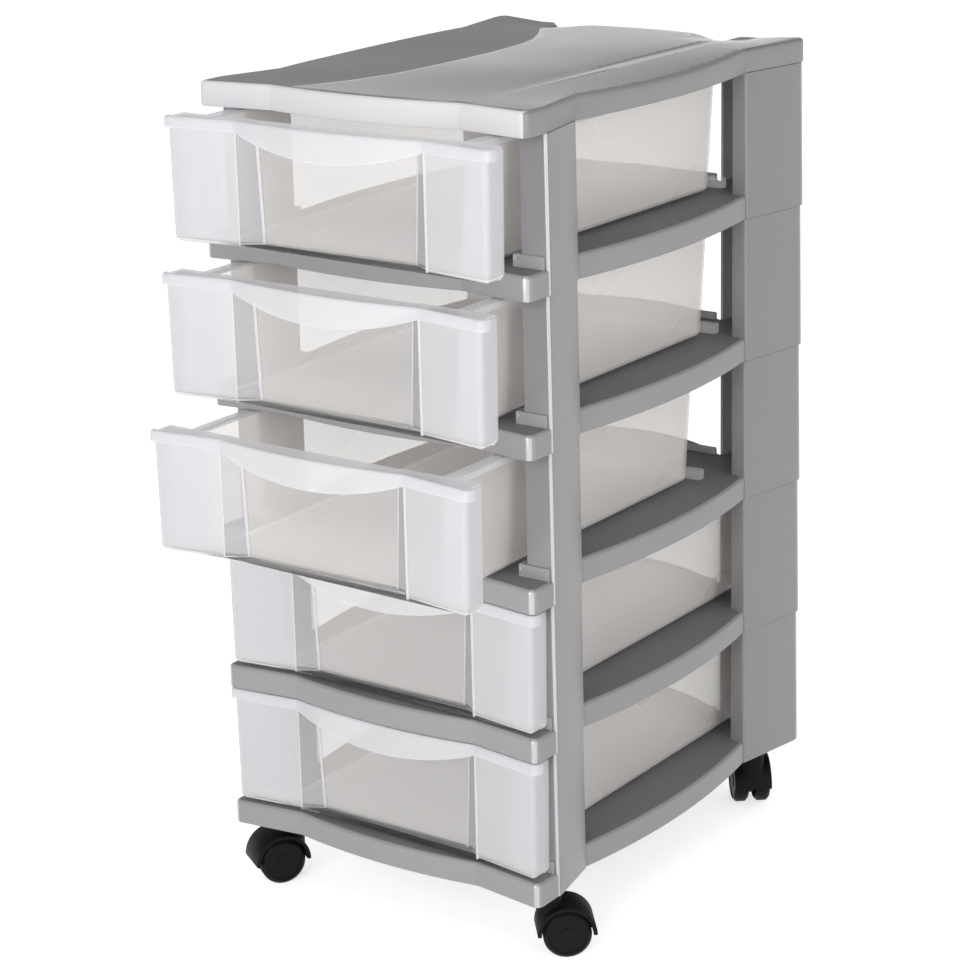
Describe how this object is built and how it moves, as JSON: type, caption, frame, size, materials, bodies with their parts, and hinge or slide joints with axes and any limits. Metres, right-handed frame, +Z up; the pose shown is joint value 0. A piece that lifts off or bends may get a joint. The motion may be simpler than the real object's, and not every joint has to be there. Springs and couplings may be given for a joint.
{
  "type": "plastic drawer tower",
  "caption": "Tower of stacked levels on hollow corner posts with see-through sliding drawers and swivelling twin-wheel castors.",
  "frame": {"origin": "on the floor under the middle of the box around the tower, with its drawers opened as at rest", "axes": "+X across the front to the right as seen from the front, +Y towards the back, +Z up"},
  "size_m": [0.3257, 0.485, 0.667],
  "materials": {
    "shelf_plastic": "silver-grey moulded plastic, satin",
    "post_plastic": "silver-grey moulded plastic, satin",
    "cover_plastic": "silver-grey moulded plastic, polished top",
    "tray_plastic": "frosted translucent plastic, smooth",
    "buffer_plastic": "pale plain plastic",
    "castor_black": "black nylon, satin",
    "wheel_black": "black nylon, satin",
    "steel": "plain zinc-plated steel"
  },
  "bodies": {
    "frame": {"top_cover": "cover_plastic", "shelf_1": "shelf_plastic", "shelf_2": "shelf_plastic", "shelf_3": "shelf_plastic", "shelf_4": "shelf_plastic", "base_shelf": "shelf_plastic", "front_left_post_1": "post_plastic", "front_right_post_1": "post_plastic", "front_left_post_2": "post_plastic", "front_right_post_2": "post_plastic", "front_left_post_3": "post_plastic", "front_right_post_3": "post_plastic", "front_left_post_4": "post_plastic", "front_right_post_4": "post_plastic", "front_left_post_5": "post_plastic", "front_right_post_5": "post_plastic", "rear_left_post_1": "post_plastic", "rear_right_post_1": "post_plastic", "rear_left_post_2": "post_plastic", "rear_right_post_2": "post_plastic", "rear_left_post_3": "post_plastic", "rear_right_post_3": "post_plastic", "rear_left_post_4": "post_plastic", "rear_right_post_4": "post_plastic", "rear_left_post_5": "post_plastic", "rear_right_post_5": "post_plastic", "closing_buffers": "buffer_plastic", "front_left_castor_sleeve": "castor_black", "front_right_castor_sleeve": "castor_black", "rear_left_castor_sleeve": "castor_black", "rear_right_castor_sleeve": "castor_black"},
    "drawer_1": {"drawer_1": "tray_plastic"},
    "drawer_2": {"drawer_2": "tray_plastic"},
    "drawer_3": {"drawer_3": "tray_plastic"},
    "drawer_4": {"drawer_4": "tray_plastic"},
    "drawer_5": {"drawer_5": "tray_plastic"},
    "front_left_castor": {"front_left_castor_stem": "steel", "front_left_castor_hood": "castor_black", "front_left_castor_axle": "steel"},
    "front_left_castor_inner_wheel": {"front_left_castor_inner_wheel": "wheel_black"},
    "front_left_castor_outer_wheel": {"front_left_castor_outer_wheel": "wheel_black"},
    "front_right_castor": {"front_right_castor_stem": "steel", "front_right_castor_hood": "castor_black", "front_right_castor_axle": "steel"},
    "front_right_castor_inner_wheel": {"front_right_castor_inner_wheel": "wheel_black"},
    "front_right_castor_outer_wheel": {"front_right_castor_outer_wheel": "wheel_black"},
    "rear_left_castor": {"rear_left_castor_stem": "steel", "rear_left_castor_hood": "castor_black", "rear_left_castor_axle": "steel"},
    "rear_left_castor_inner_wheel": {"rear_left_castor_inner_wheel": "wheel_black"},
    "rear_left_castor_outer_wheel": {"rear_left_castor_outer_wheel": "wheel_black"},
    "rear_right_castor": {"rear_right_castor_stem": "steel", "rear_right_castor_hood": "castor_black", "rear_right_castor_axle": "steel"},
    "rear_right_castor_inner_wheel": {"rear_right_castor_inner_wheel": "wheel_black"},
    "rear_right_castor_outer_wheel": {"rear_right_castor_outer_wheel": "wheel_black"}
  },
  "joints": [
    {"name": "drawer_1_slide", "type": "slide", "parent": "frame", "child": "drawer_1", "axis": [0, -1, 0], "range_m": [-0.0435, 0.2325]},
    {"name": "drawer_2_slide", "type": "slide", "parent": "frame", "child": "drawer_2", "axis": [0, -1, 0], "range_m": [-0.055, 0.221]},
    {"name": "drawer_3_slide", "type": "slide", "parent": "frame", "child": "drawer_3", "axis": [0, -1, 0], "range_m": [-0.078, 0.198]},
    {"name": "drawer_4_slide", "type": "slide", "parent": "frame", "child": "drawer_4", "axis": [0, -1, 0], "range_m": [0, 0.276]},
    {"name": "drawer_5_slide", "type": "slide", "parent": "frame", "child": "drawer_5", "axis": [0, -1, 0], "range_m": [0, 0.276]},
    {"name": "front_left_castor_swivel", "type": "hinge", "parent": "frame", "child": "front_left_castor", "pos_m": [-0.1275, -0.11936, 0.059], "axis": [0, 0, 1], "continuous": true},
    {"name": "front_left_castor_inner_wheel_spin", "type": "hinge", "parent": "front_left_castor", "child": "front_left_castor_inner_wheel", "pos_m": [-0.13439, -0.13038, 0.019], "axis": [0.848, -0.5299, 0], "continuous": true},
    {"name": "front_left_castor_outer_wheel_spin", "type": "hinge", "parent": "front_left_castor", "child": "front_left_castor_outer_wheel", "pos_m": [-0.13439, -0.13038, 0.019], "axis": [0.848, -0.5299, 0], "continuous": true},
    {"name": "front_right_castor_swivel", "type": "hinge", "parent": "frame", "child": "front_right_castor", "pos_m": [0.1275, -0.11936, 0.059], "axis": [0, 0, 1], "continuous": true},
    {"name": "front_right_castor_inner_wheel_spin", "type": "hinge", "parent": "front_right_castor", "child": "front_right_castor_inner_wheel", "pos_m": [0.13746, -0.111, 0.019], "axis": [-0.6428, 0.766, 0], "continuous": true},
    {"name": "front_right_castor_outer_wheel_spin", "type": "hinge", "parent": "front_right_castor", "child": "front_right_castor_outer_wheel", "pos_m": [0.13746, -0.111, 0.019], "axis": [-0.6428, 0.766, 0], "continuous": true},
    {"name": "rear_left_castor_swivel", "type": "hinge", "parent": "frame", "child": "rear_left_castor", "pos_m": [-0.122, 0.20364, 0.059], "axis": [0, 0, 1], "continuous": true},
    {"name": "rear_left_castor_inner_wheel_spin", "type": "hinge", "parent": "rear_left_castor", "child": "rear_left_castor_inner_wheel", "pos_m": [-0.12946, 0.21429, 0.019], "axis": [-0.8192, -0.5736, 0], "continuous": true},
    {"name": "rear_left_castor_outer_wheel_spin", "type": "hinge", "parent": "rear_left_castor", "child": "rear_left_castor_outer_wheel", "pos_m": [-0.12946, 0.21429, 0.019], "axis": [-0.8192, -0.5736, 0], "continuous": true},
    {"name": "rear_right_castor_swivel", "type": "hinge", "parent": "frame", "child": "rear_right_castor", "pos_m": [0.122, 0.20364, 0.059], "axis": [0, 0, 1], "continuous": true},
    {"name": "rear_right_castor_inner_wheel_spin", "type": "hinge", "parent": "rear_right_castor", "child": "rear_right_castor_inner_wheel", "pos_m": [0.11364, 0.2136, 0.019], "axis": [-0.766, -0.6428, 0], "continuous": true},
    {"name": "rear_right_castor_outer_wheel_spin", "type": "hinge", "parent": "rear_right_castor", "child": "rear_right_castor_outer_wheel", "pos_m": [0.11364, 0.2136, 0.019], "axis": [-0.766, -0.6428, 0], "continuous": true}
  ]
}
